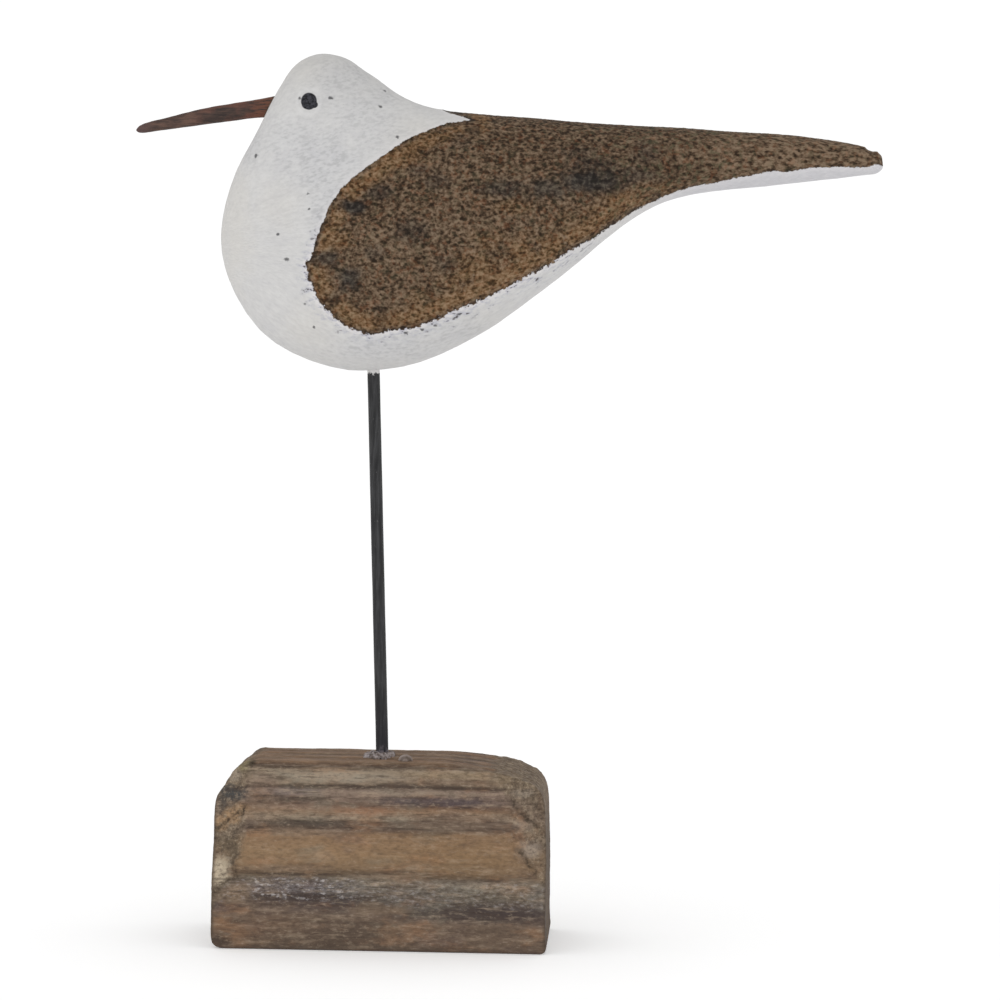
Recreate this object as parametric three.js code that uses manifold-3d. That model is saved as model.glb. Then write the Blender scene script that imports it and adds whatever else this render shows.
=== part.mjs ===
// A carved and painted shorebird on a thin steel rod, set in a block of old timber.
// Millimetres. X runs along the bird, from the bill (-X) to the tail (+X), Z is up.
// The origin is on the underside of the block, in the middle of its length and depth.

import * as THREE from 'three';
import { mergeVertices } from 'three/addons/utils/BufferGeometryUtils.js';
import Module from 'manifold-3d';

const manifold = await Module();
manifold.setup();

// Fits: the slack all round a piece that is set in another one.
const slack = 0.3;

// The rod is a straight length of round bar that leans a little towards the bill.
const rodDiameter = 4;
const rodLean = THREE.MathUtils.degToRad(1.95);
const rodAtBlockTop = -1.4;
const rodFootHeight = 34;
const rodHeadHeight = 216;
const rodSides = 24;

// The block is a sawn piece of weathered timber with worn ends.
const blockLength = 110;
const blockDepth = 54;
const blockHeight = 61.5;
const topEdgeRound = 8;
const bottomEdgeRound = 1.5;
const blockCurveSteps = 6;
const leftFootRound = 4.5;
const rightFootRound = 2.5;
// How far in from its end, and how high, the worn outline of each end runs.
const wornRightEnd = [
  [0.4, 8], [0.4, 28], [0.7, 39], [1.4, 49.5], [4, 54.6], [8, 56.6], [13.5, 58.5], [22, 59.9], [35, 61.5],
];
const wornLeftEnd = [[14, 61.5], [10.2, 60.9], [6.7, 58.4], [3.6, 53.4], [0.6, 48.4], [0, 40]];
const cornerWear = 12.5;
const cornerWearDepth = 5.5;
const cornerWearStart = 13;
const cornerWearFull = 38;
const raisedBand = { low: 25.5, high: 38.5, depth: 0.7, slope: 0.6 };
const grainGrooves = [
  { height: 17.5, width: 2.6, depth: 0.6 },
  { height: 41.5, width: 3.4, depth: 0.9 },
  { height: 49.3, width: 1.8, depth: 0.7 },
];

// The bird is drawn as ribs from the tail to the crown. Each rib runs from a point of the
// underside line to a point of the back line, both given as [x, z], and has half the
// thickness of the bird there. The first and the last entry are the ends of the form.
const birdRibs = [
  { place: 'end of the tail', under: [162.4, 260.8], over: [162.4, 260.8], half: 0 },
  { place: 'tail edge', under: [161.5, 257.6], over: [161.1, 263.9], half: 5.4 },
  { place: 'tail', under: [154, 256.4], over: [154, 266.4], half: 7.6 },
  { place: 'tail', under: [123, 252.6], over: [128, 269.7], half: 10.8 },
  { place: 'root of the tail', under: [99, 249.6], over: [106, 270.8], half: 13.4 },
  { place: 'rump', under: [83, 243.7], over: [92, 271.7], half: 15.6 },
  { place: 'flank', under: [56, 222], over: [68, 272.8], half: 20.4 },
  { place: 'flank', under: [28, 201.7], over: [44, 274.6], half: 24 },
  { place: 'belly', under: [4, 191.6], over: [27, 275.8], half: 25.8 },
  { place: 'belly', under: [-20, 191.1], over: [15, 277], half: 25.6 },
  { place: 'breast', under: [-44, 203.2], over: [6.5, 279.5], half: 24.4 },
  { place: 'breast', under: [-56.7, 228], over: [-0.5, 283.1], half: 22.2 },
  { place: 'throat', under: [-53.8, 251], over: [-5.5, 286.8], half: 20 },
  { place: 'cheek', under: [-45.4, 268], over: [-10.5, 290], half: 18.4 },
  { place: 'forehead', under: [-37.8, 283.6], over: [-15, 293.2], half: 15 },
  { place: 'crown', under: [-32.6, 291.2], over: [-20, 294.8], half: 8.5 },
  { place: 'top of the head', under: [-26, 295], over: [-26, 295], half: 0 },
];
const birdFullness = 2.2;
const breastFullness = 0.1;
const birdRings = 64;
const birdSegments = 40;

// The bill is a whittled stick that is set whole in a hole in the head.
const billRibs = [
  { place: 'inner end', under: [-31.5, 278.6], over: [-31.5, 278.6], half: 0 },
  { place: 'inside the head', under: [-33, 275.8], over: [-33, 281.3], half: 2.5 },
  { place: 'root', under: [-49, 273.4], over: [-49, 279.3], half: 2.5 },
  { place: 'middle', under: [-63, 271.4], over: [-63, 276.9], half: 2.2 },
  { place: 'outer half', under: [-76, 269.6], over: [-76, 273.6], half: 1.7 },
  { place: 'tip', under: [-84.9, 268.5], over: [-84.9, 271], half: 1.1 },
  { place: 'tip', under: [-86.2, 269.2], over: [-86.2, 269.2], half: 0 },
];
const billFullness = 2.5;
const billRings = 24;
const billSegments = 20;

// A carved form between its underside line and its back line: the two lines make one closed
// smooth curve through the ribs' ends, and each ring is a full rounded section between them.
function carvedForm(ribs, { fullness, lowFullness = 0, rings, segments, grow = 0 }) {
  const last = ribs.length - 1;
  const inSideView = ([x, z]) => new THREE.Vector3(x, 0, z);
  const underLine = ribs.map((rib) => inSideView(rib.under));
  const backLine = ribs.slice(1, last).reverse().map((rib) => inSideView(rib.over));
  const outline = new THREE.CatmullRomCurve3([...underLine, ...backLine], true, 'centripetal');
  const widths = new THREE.SplineCurve(ribs.map((rib, i) => new THREE.Vector2(i, rib.half)));

  const geometry = new THREE.SphereGeometry(1, segments, rings);
  const place = geometry.attributes.position;
  const ringPoint = new THREE.Vector3();
  for (let ring = 0; ring <= rings; ring++) {
    const along = ring / rings;
    const under = outline.getPoint(along / 2);
    const over = outline.getPoint((1 - along / 2) % 1);
    const middle = under.clone().add(over).multiplyScalar(0.5);
    const reach = under.clone().sub(over).multiplyScalar(0.5);
    const atEnd = ring === 0 || ring === rings;
    const half = atEnd ? 0 : Math.max(widths.getPoint(along).y, 0) + grow;
    const stretch = atEnd ? 0 : 1 + grow / reach.length();
    for (let segment = 0; segment <= segments; segment++) {
      const angle = (segment % segments) / segments * 2 * Math.PI;
      const down = Math.cos(angle);
      const aside = Math.sin(angle);
      const downFull = Math.sign(down) * Math.abs(down) ** (2 / fullness);
      const asideFull = Math.sign(aside) * Math.abs(aside) ** (2 / fullness);
      ringPoint.copy(middle).addScaledVector(reach, downFull * stretch);
      ringPoint.y = half * asideFull * (1 + lowFullness * down);
      place.setXYZ(ring * (segments + 1) + segment, ringPoint.x, ringPoint.y, ringPoint.z);
    }
  }
  return geometry;
}

// Booleans: a closed geometry becomes a solid, and a solid becomes a geometry again.
function solidOf(geometry) {
  const bare = new THREE.BufferGeometry();
  bare.setAttribute('position', geometry.attributes.position.clone());
  bare.setIndex(geometry.index ? geometry.index.clone() : null);
  const merged = mergeVertices(bare, 1e-4);
  const corners = merged.index.array;
  const kept = [];
  for (let i = 0; i < corners.length; i += 3) {
    const [a, b, c] = corners.slice(i, i + 3);
    if (a !== b && b !== c && c !== a) kept.push(a, b, c);
  }
  return new manifold.Manifold(new manifold.Mesh({
    numProp: 3,
    vertProperties: new Float32Array(merged.attributes.position.array),
    triVerts: new Uint32Array(kept),
  }));
}

function geometryOf(solid) {
  const mesh = solid.getMesh();
  const geometry = new THREE.BufferGeometry();
  geometry.setAttribute('position', new THREE.BufferAttribute(new Float32Array(mesh.vertProperties), 3));
  geometry.setIndex(new THREE.BufferAttribute(new Uint32Array(mesh.triVerts), 1));
  geometry.computeVertexNormals();
  return geometry;
}

// The rod, or the hole for it when it is grown by the slack.
function rodGeometry(grow = 0) {
  const length = (rodHeadHeight - rodFootHeight) / Math.cos(rodLean) + 2 * grow;
  const radius = rodDiameter / 2 + grow;
  const geometry = new THREE.CylinderGeometry(radius, radius, length, rodSides);
  geometry.rotateX(Math.PI / 2);
  geometry.rotateY(-rodLean);
  const middleHeight = (rodHeadHeight + rodFootHeight) / 2;
  geometry.translate(rodAtBlockTop - (middleHeight - blockHeight) * Math.tan(rodLean), 0, middleHeight);
  return geometry;
}

// The front outline of the block: sawn straight below, and worn off at the top of both ends.
function blockFrontOutline() {
  const left = -blockLength / 2;
  const right = blockLength / 2;
  const outline = new THREE.Shape();
  outline.moveTo(left + leftFootRound, 0);
  outline.lineTo(right - rightFootRound, 0);
  outline.quadraticCurveTo(right, 0, right, rightFootRound);
  outline.splineThru(wornRightEnd.map(([inward, height]) => new THREE.Vector2(right - inward, height)));
  const leftEnd = wornLeftEnd.map(([inward, height]) => new THREE.Vector2(left + inward, height));
  outline.lineTo(leftEnd[0].x, leftEnd[0].y);
  outline.splineThru(leftEnd.slice(1));
  outline.lineTo(left, leftFootRound);
  outline.quadraticCurveTo(left, 0, left + leftFootRound, 0);
  return outline;
}

// The end outline of the block, with the ridges that weather has left along both long sides.
function blockEndOutline() {
  const half = blockDepth / 2;
  const grooveFrom = (groove) => [
    [half, groove.height - groove.width / 2],
    [half - groove.depth, groove.height],
    [half, groove.height + groove.width / 2],
  ];
  const bandFrom = ({ low, high, depth, slope }) => [
    [half, low - slope],
    [half + depth, low + slope],
    [half + depth, high - slope],
    [half, high + slope],
  ];
  const face = [...grainGrooves.map(grooveFrom), bandFrom(raisedBand)];
  face.sort((one, other) => one[0][1] - other[0][1]);
  const outline = new THREE.Shape();
  outline.moveTo(-half + bottomEdgeRound, 0);
  outline.lineTo(half - bottomEdgeRound, 0);
  outline.quadraticCurveTo(half, 0, half, bottomEdgeRound);
  face.flat().forEach(([out, height]) => outline.lineTo(out, height));
  outline.lineTo(half, blockHeight - topEdgeRound);
  outline.quadraticCurveTo(half, blockHeight, half - topEdgeRound, blockHeight);
  outline.lineTo(topEdgeRound - half, blockHeight);
  outline.quadraticCurveTo(-half, blockHeight, -half, blockHeight - topEdgeRound);
  face.flat().reverse().forEach(([out, height]) => outline.lineTo(-out, height));
  outline.lineTo(-half, bottomEdgeRound);
  outline.quadraticCurveTo(-half, 0, bottomEdgeRound - half, 0);
  return outline;
}

// A worn corner: a slab that stands across an upright corner of the block and takes the corner
// off, deepest in the upper half and running out near the bottom.
function wornCorner(sideX, sideY) {
  const heightSteps = 12;
  const margin = 2;
  const slabWidth = 40;
  const slabThickness = 12;
  const corner = new THREE.Vector2(blockLength / 2, blockDepth / 2);
  const outward = new THREE.Vector2(cornerWearDepth, cornerWear).normalize();
  const across = new THREE.Vector2(-outward.y, outward.x);
  const deepest = cornerWear * outward.x;
  const slab = new THREE.BoxGeometry(slabWidth, slabThickness, blockHeight + 2 * margin, 1, 1, heightSteps);
  slab.translate(0, slabThickness / 2, blockHeight / 2);
  const place = slab.attributes.position;
  for (let i = 0; i < place.count; i++) {
    const height = place.getZ(i);
    const share = THREE.MathUtils.smoothstep(height, cornerWearStart, cornerWearFull);
    const outBy = place.getY(i) + margin - (deepest + margin) * share;
    const spot = corner.clone().addScaledVector(outward, outBy).addScaledVector(across, -place.getX(i));
    place.setXY(i, spot.x, spot.y);
  }
  if (sideX < 0) slab.rotateZ(Math.PI);
  if (sideX * sideY < 0) mirrorY(slab);
  return slab;
}

// Turns a geometry into its mirror image in the plane y = 0, with its faces still outwards.
function mirrorY(geometry) {
  geometry.scale(1, -1, 1);
  const corners = geometry.index;
  for (let i = 0; i < corners.count; i += 3) {
    const first = corners.getX(i);
    corners.setX(i, corners.getX(i + 2));
    corners.setX(i + 2, first);
  }
}

function blockSolid() {
  const beyond = 2;
  const front = new THREE.ExtrudeGeometry(blockFrontOutline(), {
    depth: blockDepth + 2 * beyond,
    bevelEnabled: false,
    curveSegments: blockCurveSteps,
  });
  front.translate(0, 0, -blockDepth / 2 - beyond);
  front.rotateX(Math.PI / 2);
  const end = new THREE.ExtrudeGeometry(blockEndOutline(), {
    depth: blockLength + 2 * beyond,
    bevelEnabled: false,
    curveSegments: blockCurveSteps,
  });
  end.translate(0, 0, -blockLength / 2 - beyond);
  end.rotateX(Math.PI / 2);
  end.rotateZ(Math.PI / 2);
  let block = solidOf(front).intersect(solidOf(end));
  for (const sideX of [-1, 1]) {
    for (const sideY of [-1, 1]) {
      block = block.subtract(solidOf(wornCorner(sideX, sideY)));
    }
  }
  return block.subtract(solidOf(rodGeometry(slack)));
}

function birdSolid() {
  const body = carvedForm(birdRibs, {
    fullness: birdFullness,
    lowFullness: breastFullness,
    rings: birdRings,
    segments: birdSegments,
  });
  const billHole = carvedForm(billRibs, {
    fullness: billFullness,
    rings: billRings,
    segments: billSegments,
    grow: slack,
  });
  return solidOf(body).subtract(solidOf(billHole)).subtract(solidOf(rodGeometry(slack)));
}

function paint(color, roughness, metalness = 0) {
  return new THREE.MeshStandardMaterial({ color, roughness, metalness });
}

function piece(name, geometry, material) {
  const mesh = new THREE.Mesh(geometry, material);
  mesh.name = name;
  return mesh;
}

const bill = carvedForm(billRibs, { fullness: billFullness, rings: billRings, segments: billSegments });

const carving = new THREE.Group();
carving.add(piece('base_block', geometryOf(blockSolid()), paint(0x7d6651, 0.85)));
carving.add(piece('leg_rod', rodGeometry(), paint(0x2b2b2d, 0.55, 0.6)));
carving.add(piece('bird_body', geometryOf(birdSolid()), paint(0xd9d8d4, 0.8)));
carving.add(piece('bill', bill, paint(0x5a3b2f, 0.65)));

export default carving;
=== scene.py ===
"""A carved and painted shorebird on a thin steel rod, set in a block of weathered timber.

The scene is built in the order in which the ornament is put together: the block, the rod and its
glue, the carved body, the bill, and then the studio around it. Metres, Z up, bill towards -X.
"""

import math

import bpy
import numpy as np
from mathutils import Matrix, Vector


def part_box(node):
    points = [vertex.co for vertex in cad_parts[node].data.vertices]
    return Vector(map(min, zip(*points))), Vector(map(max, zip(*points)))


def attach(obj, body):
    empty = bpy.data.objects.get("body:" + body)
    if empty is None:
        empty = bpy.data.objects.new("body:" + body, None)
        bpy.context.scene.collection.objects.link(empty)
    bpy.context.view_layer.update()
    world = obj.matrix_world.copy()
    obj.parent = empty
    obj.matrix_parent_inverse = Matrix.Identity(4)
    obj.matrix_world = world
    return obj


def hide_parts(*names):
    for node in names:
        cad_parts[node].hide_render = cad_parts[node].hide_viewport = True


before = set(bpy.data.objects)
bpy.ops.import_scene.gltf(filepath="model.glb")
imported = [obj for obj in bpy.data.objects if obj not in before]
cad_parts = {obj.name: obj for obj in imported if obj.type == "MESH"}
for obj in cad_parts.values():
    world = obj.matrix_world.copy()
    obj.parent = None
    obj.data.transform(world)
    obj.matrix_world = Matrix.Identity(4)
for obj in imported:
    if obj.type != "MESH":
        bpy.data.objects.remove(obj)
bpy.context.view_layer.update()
bpy.ops.object.select_all(action="DESELECT")


# The block: an offcut of an old beam, with its ends and upper edges worn round. Weather has
# eaten the soft early wood, so the growth rings stand out as ridges along both long sides.

MM = 0.001


def sole(piece):
    """Makes one object the active one and the only selected one."""
    bpy.ops.object.select_all(action="DESELECT")
    piece.select_set(True)
    bpy.context.view_layer.objects.active = piece


def worked_copy(node, name):
    """A copy of a CAD node's mesh in an object of its own, with its loose triangles merged."""
    piece = bpy.data.objects.new(name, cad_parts[node].data.copy())
    bpy.context.scene.collection.objects.link(piece)
    sole(piece)
    bpy.ops.object.mode_set(mode="EDIT")
    bpy.ops.mesh.select_all(action="SELECT")
    bpy.ops.mesh.remove_doubles(threshold=0.00001)
    bpy.ops.object.mode_set(mode="OBJECT")
    return piece


def plug(piece, inside):
    """Takes away the faces of a socket, which inside(centre, normal) knows, and closes its rim."""
    sole(piece)
    bpy.ops.object.mode_set(mode="EDIT")
    bpy.ops.mesh.select_mode(type="FACE")
    bpy.ops.mesh.select_all(action="DESELECT")
    bpy.ops.object.mode_set(mode="OBJECT")
    for face in piece.data.polygons:
        face.select = inside(face.center, face.normal)
    bpy.ops.object.mode_set(mode="EDIT")
    bpy.ops.mesh.delete(type="FACE")
    bpy.ops.mesh.select_mode(type="EDGE")
    bpy.ops.mesh.select_all(action="DESELECT")
    bpy.ops.mesh.select_non_manifold()
    bpy.ops.mesh.edge_face_add()
    bpy.ops.object.mode_set(mode="OBJECT")


def apply(piece, kind, **settings):
    """Adds one modifier with these settings and applies it."""
    modifier = piece.modifiers.new(kind.lower(), kind)
    for name, value in settings.items():
        setattr(modifier, name, value)
    sole(piece)
    bpy.ops.object.modifier_apply(modifier=modifier.name)


def even_skin(piece, quad, rounds):
    """Rebuilds the surface in even quads and takes the facets off it without shrinking it."""
    apply(piece, "REMESH", mode="VOXEL", voxel_size=quad, adaptivity=0.0)
    for _ in range(rounds):
        apply(piece, "SMOOTH", factor=0.5, iterations=1)
        apply(piece, "SMOOTH", factor=-0.52, iterations=1)


class Strand:
    """A socket of a node tree. A sum on it adds Math nodes, and node() adds any other node."""

    def __init__(self, tree, socket=None):
        self.tree = tree
        self.socket = socket

    def node(self, kind, settings, inputs, out=0):
        made = self.tree.nodes.new(kind)
        for name, value in settings.items():
            if name == "stops":
                ramp = made.color_ramp.elements
                while len(ramp) < len(value):
                    ramp.new(1.0)
                for element, (place, colour) in zip(ramp, value):
                    element.position = place
                    element.color = colour
            else:
                setattr(made, name, value)
        for place, value in inputs.items():
            if isinstance(value, Strand):
                self.tree.links.new(value.socket, made.inputs[place])
            else:
                made.inputs[place].default_value = value
        return Strand(self.tree, made.outputs[out])

    def math(self, operation, *values):
        return self.node("ShaderNodeMath", {"operation": operation}, dict(enumerate(values)))

    def __add__(self, other):
        return self.math("ADD", self, other)

    def __radd__(self, other):
        return self.math("ADD", other, self)

    def __sub__(self, other):
        return self.math("SUBTRACT", self, other)

    def __rsub__(self, other):
        return self.math("SUBTRACT", other, self)

    def __mul__(self, other):
        return self.math("MULTIPLY", self, other)

    def __rmul__(self, other):
        return self.math("MULTIPLY", other, self)

    def __truediv__(self, other):
        return self.math("DIVIDE", self, other)

    def __abs__(self):
        return self.math("ABSOLUTE", self)

    def high(self, other):
        return self.math("MAXIMUM", self, other)

    def low(self, other):
        return self.math("MINIMUM", self, other)

    def rise(self, start, end):
        """0 below start and 1 above end, with a smooth rise between."""
        return self.node(
            "ShaderNodeMapRange",
            {"interpolation_type": "SMOOTHSTEP"},
            {"Value": self, "From Min": start, "From Max": end},
        )

    def vector(self, operation, other=(0, 0, 0), out=0):
        return self.node("ShaderNodeVectorMath", {"operation": operation}, {0: self, 1: other}, out)

    def gap(self, spot, reach):
        """How far this place is from a spot, with 1 at the reach of each axis; 0 leaves an axis out."""
        scale = tuple(1 / r if r else 0 for r in reach)
        return self.vector("SUBTRACT", spot).vector("MULTIPLY", scale).vector("LENGTH", out=1)

    def axis(self, which):
        return self.node("ShaderNodeSeparateXYZ", {}, {0: self}, "XYZ".index(which))

    def noise(self, size, detail=2.0, rough=0.5, stretch=(1, 1, 1)):
        """Soft noise from 0 to 1 whose features are about size across, times stretch."""
        place = self.vector("MULTIPLY", tuple(1 / (size * s) for s in stretch))
        return self.node(
            "ShaderNodeTexNoise",
            {"noise_dimensions": "3D"},
            {"Vector": place, "Scale": 1.0, "Detail": detail, "Roughness": rough},
        )

    def ramp(self, stops):
        return self.node("ShaderNodeValToRGB", {"stops": stops}, {0: self})

    def blend(self, amount, other, how="MIX"):
        """This colour with another over it, as far as amount says."""
        return self.node(
            "ShaderNodeMix",
            {"data_type": "RGBA", "blend_type": how},
            {0: amount, 6: self, 7: other},
            2,
        )


def tone(red, green, blue):
    """A colour as a screen shows it, 0 to 255, as the linear colour that a shader takes."""
    share = [c / 255 for c in (red, green, blue)]
    return tuple(c / 12.92 if c < 0.04045 else ((c + 0.055) / 1.055) ** 2.4 for c in share) + (1.0,)


def carve(piece, recipe):
    """Moves the surface out along its normals by what recipe(place) says, in metres."""
    tree = bpy.data.node_groups.new(piece.name + "_relief", "GeometryNodeTree")
    tree.interface.new_socket("Mesh", in_out="INPUT", socket_type="NodeSocketGeometry")
    tree.interface.new_socket("Mesh", in_out="OUTPUT", socket_type="NodeSocketGeometry")
    start = Strand(tree, tree.nodes.new("NodeGroupInput").outputs[0])
    place = start.node("GeometryNodeInputPosition", {}, {})
    normal = start.node("GeometryNodeInputNormal", {}, {})
    offset = start.node(
        "ShaderNodeVectorMath", {"operation": "SCALE"}, {0: normal, "Scale": recipe(place)}
    )
    moved = start.node("GeometryNodeSetPosition", {}, {"Geometry": start, "Offset": offset})
    tree.links.new(moved.socket, tree.nodes.new("NodeGroupOutput").inputs[0])
    apply(piece, "NODES", node_group=tree)


def coat(piece, name, paint, **fixed):
    """Gives the piece a material. paint(place) says what varies over its surface."""
    material = bpy.data.materials.new(name)
    material.use_nodes = True
    tree = material.node_tree
    shader = tree.nodes["Principled BSDF"]
    for socket, value in fixed.items():
        shader.inputs[socket.replace("_", " ")].default_value = value
    bare = Strand(tree)
    place = bare.node("ShaderNodeTexCoord", {}, {}, "Object")
    for socket, value in paint(place).items():
        if socket == "Height":
            bump = bare.node("ShaderNodeBump", {}, {"Height": value, "Strength": 1.0, "Distance": 1.0})
            tree.links.new(bump.socket, shader.inputs["Normal"])
        else:
            tree.links.new(value.socket, shader.inputs[socket])
    piece.data.materials.clear()
    piece.data.materials.append(material)


PITH = (0.0, -61 * MM, -14 * MM)
RING_FROM = 35
RING_TO = 120


def ring_radius(place):
    """How far out from the pith of the tree a point lies. The pith runs along X, outside the block.

    Towards both ends the grain dives, and low down it opens out towards the right.
    """
    x = place.axis("X")
    upper = place.axis("Z").rise(24 * MM, 40 * MM)
    bent = place.noise(9 * MM, 2.0, 0.5) * (6 * MM)
    right_end = (x + bent).rise(44 * MM, 60 * MM) * (upper * 4 + 1)
    left_end = (1 - (x - bent).rise(-60 * MM, -46 * MM)) * (upper * 2 + 1)
    lift = place.node("ShaderNodeCombineXYZ", {}, {0: 0.0, 1: 0.0, 2: (right_end + left_end) * MM})
    lifted = place.vector("ADD", lift)
    sway = place.noise(22 * MM, 2.0, 0.5, (3, 1, 1)) - 0.5
    ripple = place.noise(4.0 * MM, 3.0, 0.6, (4, 1, 1)) - 0.5
    reach = lifted.gap(PITH, (0, 1, 1)) + sway * (2.6 * MM) + ripple * (1.9 * MM)
    opening = x.rise(-12 * MM, 14 * MM) * (1 - reach.rise(47 * MM, 50 * MM))
    return reach + opening * (0.9 * MM)


def ring_ramp(radius, stops):
    """A ramp across the growth rings, with its stops in millimetres from the pith."""
    share = (radius / MM - RING_FROM) / (RING_TO - RING_FROM)
    return share.ramp([((mm - RING_FROM) / (RING_TO - RING_FROM), colour) for mm, colour in stops])


def rough_band(radius):
    """1 in the one wide ring that has weathered to loose fibres."""
    return radius.rise(45 * MM, 47 * MM) * (1 - radius.rise(50.4 * MM, 51.6 * MM))


# Where the worn part of each end starts, in millimetres: [height, x].
LEFT_WEAR = [(3, -57), (15, -53.5), (22, -49.5), (29, -46.5), (38, -43.5), (49, -44.2), (61, -41.5)]
RIGHT_WEAR = [(10, 57), (18, 53.5), (27, 51), (35, 46.5), (43, 46.5), (50, 43), (57, 37), (61, 32)]
# A ramp holds these from 0 to 1: heights up to BLOCK_HIGH, and WEAR_SPAN from WEAR_FROM outwards.
BLOCK_HIGH = 62
WEAR_FROM = 35
WEAR_SPAN = 25
# Cracks that run across the worn ends of the front face: from [x, z], to [x, z] and strength.
CRACKS = [
    ((42.8, 49.6), (49, 43.8), 0.7), ((48.6, 44), (55, 37.4), 0.75), ((45.8, 34.4), (51.6, 26.2), 0.8),
    ((-54.4, 38.8), (-43.4, 46), 0.85), ((-54.4, 17.8), (-48.4, 23.4), 0.8), ((-45, 44), (-41.6, 52), 0.3),
    ((-47.8, 30.4), (-46.8, 22.4), 0.7),
]


def worn_ends(place):
    """1 where an end is worn across its grain, up to a wandering border."""
    x, share_up = place.axis("X"), place.axis("Z") / (BLOCK_HIGH * MM)
    wander = (place.noise(4 * MM, 4.0, 0.68, (1.6, 1, 1)) - 0.5) * (11 * MM)
    masks = []
    for wear, side in ((LEFT_WEAR, -1), (RIGHT_WEAR, 1)):
        stops = [
            (height / BLOCK_HIGH, ((side * start - WEAR_FROM) / WEAR_SPAN,) * 3 + (1,))
            for height, start in wear
        ]
        past = x * side + wander - (share_up.ramp(stops) * WEAR_SPAN + WEAR_FROM) * MM
        masks.append(past.rise(-1.2 * MM, 2.4 * MM))
    return masks[0] + masks[1]


def cracks(place):
    """1 in the middle of a crack of the front face, and 0 away from them all."""
    x, z = place.axis("X"), place.axis("Z")
    crooked = (place.noise(3 * MM, 4.0, 0.66) - 0.5) * (4.4 * MM)
    broken = place.noise(1.6 * MM, 3.0, 0.6).rise(0.4, 0.58)
    total = 0.0
    for (x0, z0), (x1, z1), strength in CRACKS:
        long = math.hypot(x1 - x0, z1 - z0)
        dx, dz = (x1 - x0) / long, (z1 - z0) / long
        off = (x - x0 * MM) * dz - (z - z0 * MM) * dx + crooked
        along = (x - x0 * MM) * dx + (z - z0 * MM) * dz
        here = (1 - abs(off).rise(0.1 * MM, 1.4 * MM)) * strength
        here = here * along.rise(-1 * MM, 1 * MM) * (1 - along.rise((long - 1) * MM, (long + 1) * MM))
        total = here + total
    return total * (0.35 + broken * 0.65) * (1 - place.axis("Y").rise(-18 * MM, -12 * MM))


# How far each ring stands out of the face, in millimetres, at its distance from the pith.
RING_RELIEF = [
    (36, 0), (40.6, 0.05), (41.2, -0.15), (42, 0.05), (43.6, 0), (45, -0.35), (47, -0.1), (50.4, 0),
    (51.6, -0.4), (52.6, 0.1), (63.2, 0.1), (65, -0.25), (66.8, 0.1), (69.6, 0.1), (70.4, -0.2),
    (71.2, 0.05), (75, 0), (76, -0.45), (77, 0.12), (82, 0.12), (83.5, -0.35), (85, 0.1), (89, 0),
    (90.5, -0.3), (92, 0.1), (96, 0), (97.5, -0.3), (99, 0.05), (104, -0.2), (106, 0.1), (111, -0.25),
    (114, 0.1),
]


def timber_relief(place):
    """Rings and fibres that stand out of the faces, the chipped ends and the cracks."""
    radius = ring_radius(place)
    x = place.axis("X")
    rings = ring_ramp(radius, [(mm, (0.5 + height,) * 3 + (1,)) for mm, height in RING_RELIEF]) - 0.5
    fibre = place.noise(1.5 * MM, 3.0, 0.6, (11, 1, 1)) - 0.5
    fine = place.noise(0.8 * MM, 2.0, 0.5, (5, 1, 1)) - 0.5
    dents = place.noise(9 * MM, 3.0, 0.55, (2.4, 1, 1)) - 0.5
    chips = place.noise(3.4 * MM, 3.0, 0.6) - 0.5
    pits = place.noise(1.5 * MM, 3.0, 0.65, (2.4, 1, 1)) - 0.5
    worn = worn_ends(place)
    height = (rings + fibre * 0.5) * (1 - worn * 0.85) + fine * 0.25 + dents * 0.6 + chips * worn * 1.3
    height = height + pits * (rough_band(radius) * 1.2 + 0.1) - worn * 0.15 - cracks(place) * 0.5
    at_sole = 1 - place.axis("Z").rise(0.1 * MM, 2.5 * MM)
    at_end = abs(x).rise(49 * MM, 53.5 * MM) * 0.75
    return height * (1 - at_sole) * (1 - at_end) * MM


block = worked_copy("base_block", "timber_block")
lean = math.radians(1.95)
rod_axis = Vector((-math.sin(lean), 0, math.cos(lean)))
rod_place = Vector((-1.4 * MM, 0, 61.5 * MM))


def off_rod(point):
    """How far a point is from the middle line of the rod."""
    return (point - rod_place).cross(rod_axis).length


IN_BORE = 2.45 * MM
BORE_FLOOR = 30 * MM
BORE_MOUTH = 61.4 * MM
plug(block, lambda centre, normal: off_rod(centre) < IN_BORE and BORE_FLOOR < centre.z < BORE_MOUTH)
even_skin(block, 0.64 * MM, 3)
carve(block, timber_relief)


# The colour of each ring at its distance from the pith in millimetres.
RING_COLOURS = [
    (36.5, (93, 78, 65)), (40.4, (106, 89, 75)), (41.2, (90, 75, 63)), (42.2, (110, 93, 79)),
    (43.6, (95, 81, 72)), (45.0, (75, 64, 59)), (46.6, (87, 79, 75)), (47.8, (110, 104, 99)),
    (50.6, (122, 113, 100)), (51.6, (93, 80, 67)), (52.6, (120, 98, 75)), (56.5, (139, 113, 85)),
    (62.3, (131, 105, 80)), (63.8, (98, 81, 69)), (66.2, (102, 87, 76)), (67.4, (144, 127, 108)),
    (69.4, (128, 102, 80)), (70.5, (100, 78, 64)), (72, (122, 103, 90)), (74.9, (126, 108, 95)),
    (76, (62, 51, 45)), (77, (131, 115, 98)), (81.3, (142, 126, 107)), (83.2, (92, 73, 59)),
    (85.6, (128, 104, 83)), (90.5, (90, 74, 63)), (93, (132, 110, 90)), (97.5, (88, 74, 65)),
    (100, (126, 104, 84)), (104, (96, 80, 69)), (108, (128, 106, 86)), (112, (98, 82, 70)),
]
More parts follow.
